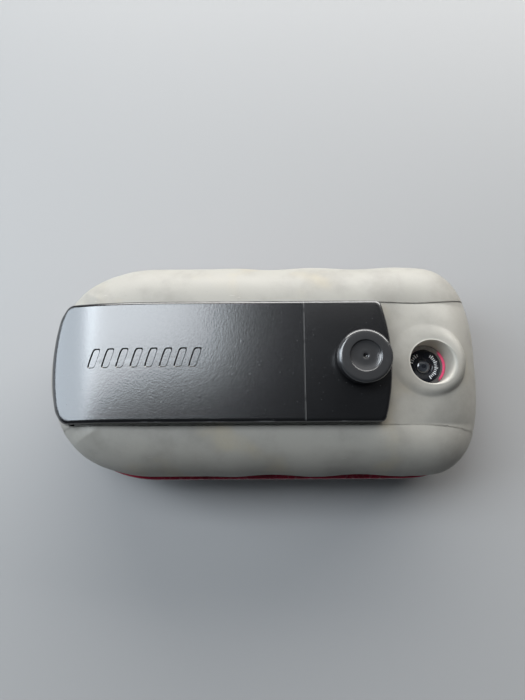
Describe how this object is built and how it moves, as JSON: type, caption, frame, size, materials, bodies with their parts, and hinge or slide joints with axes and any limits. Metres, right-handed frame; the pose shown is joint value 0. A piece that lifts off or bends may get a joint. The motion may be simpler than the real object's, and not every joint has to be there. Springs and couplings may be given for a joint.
{
  "type": "handheld gps unit",
  "caption": "Pocket-size outdoor GPS receiver with a touch screen, rear camera, rubber side grips, a black rear spine that is also the battery door, and a round belt-clip stud.",
  "frame": {"origin": "centre of the bounding box's footprint, on the plane of the flat bezel face that the unit rests on", "axes": "+X towards the top (camera) end, +Y towards the right-hand side as seen from the screen, +Z out of the back"},
  "size_m": [0.1139, 0.058, 0.0404],
  "materials": {
    "bezel_plastic": "satin moulded, fine texture",
    "screen_glass": "glossy, anti-glare",
    "seal_rubber": "matte",
    "plated_steel": "nickel plated",
    "flex_film": "amber film",
    "crimson_plastic": "semi-gloss crimson",
    "grey_shell": "warm grey, soft-touch matte",
    "grey_rubber": "warm grey, soft-touch matte",
    "inner_plastic": "moulded",
    "cell_wrap": "printed sleeve",
    "contact_brass": "spring strip",
    "board_laminate": "solder mask",
    "ceramic": "fired ceramic, silvered",
    "lens_plate_black": "gloss black",
    "lens_glass": "coated",
    "camera_ring_red": "gloss red",
    "spine_black": "black, fine grained",
    "button_black": "satin black, turned",
    "foam_pad": "closed-cell foam",
    "latch_black": "satin black",
    "cap_rubber": "matte",
    "key_rubber": "matte"
  },
  "bodies": {
    "housing": {"front_case": "bezel_plastic", "touch_panel": "screen_glass", "screen_gasket": "seal_rubber", "lcd_module": "plated_steel", "lcd_flex": "flex_film", "accent_band": "crimson_plastic", "case_seal": "seal_rubber", "rear_case": "grey_shell", "camera_collar": "grey_shell", "grip_left": "grey_rubber", "grip_right": "grey_rubber", "battery_tray": "inner_plastic", "battery_1": "cell_wrap", "battery_2": "cell_wrap", "battery_springs": "plated_steel", "battery_contacts": "contact_brass", "main_board": "board_laminate", "shield_can": "plated_steel", "gps_antenna": "ceramic", "camera_module": "inner_plastic", "lens_plate": "lens_plate_black", "camera_lens": "lens_glass", "camera_ring": "camera_ring_red", "beeper": "inner_plastic", "usb_socket": "plated_steel", "card_slot": "plated_steel", "memory_card": "inner_plastic", "backup_cell": "plated_steel", "power_switch": "inner_plastic", "spine_head": "spine_black", "spine_screws": "plated_steel", "case_screws": "plated_steel", "board_screws": "plated_steel", "clip_button": "button_black", "clip_screw": "plated_steel"},
    "battery_door": {"battery_door": "spine_black", "door_pad": "foam_pad"},
    "door_latch": {"door_latch": "latch_black"},
    "usb_cap": {"usb_cap": "cap_rubber"},
    "power_key": {"power_key": "key_rubber"}
  },
  "joints": [
    {"name": "battery_door_hinge", "type": "hinge", "parent": "housing", "child": "battery_door", "pos_m": [0.0101, 0, 0.035], "axis": [0, 1, 0], "range_deg": [0, 40]},
    {"name": "door_latch_slide", "type": "slide", "parent": "battery_door", "child": "door_latch", "axis": [0, 1, 0], "range_m": [0, 0.004]},
    {"name": "usb_cap_hinge", "type": "hinge", "parent": "housing", "child": "usb_cap", "pos_m": [-0.0566, 0, 0.01475], "axis": [0, -1, 0], "range_deg": [0, 110]},
    {"name": "power_key_press", "type": "slide", "parent": "housing", "child": "power_key", "axis": [0, -1, 0], "range_m": [0, 0.0006], "stiffness_N_per_m": 2000}
  ]
}
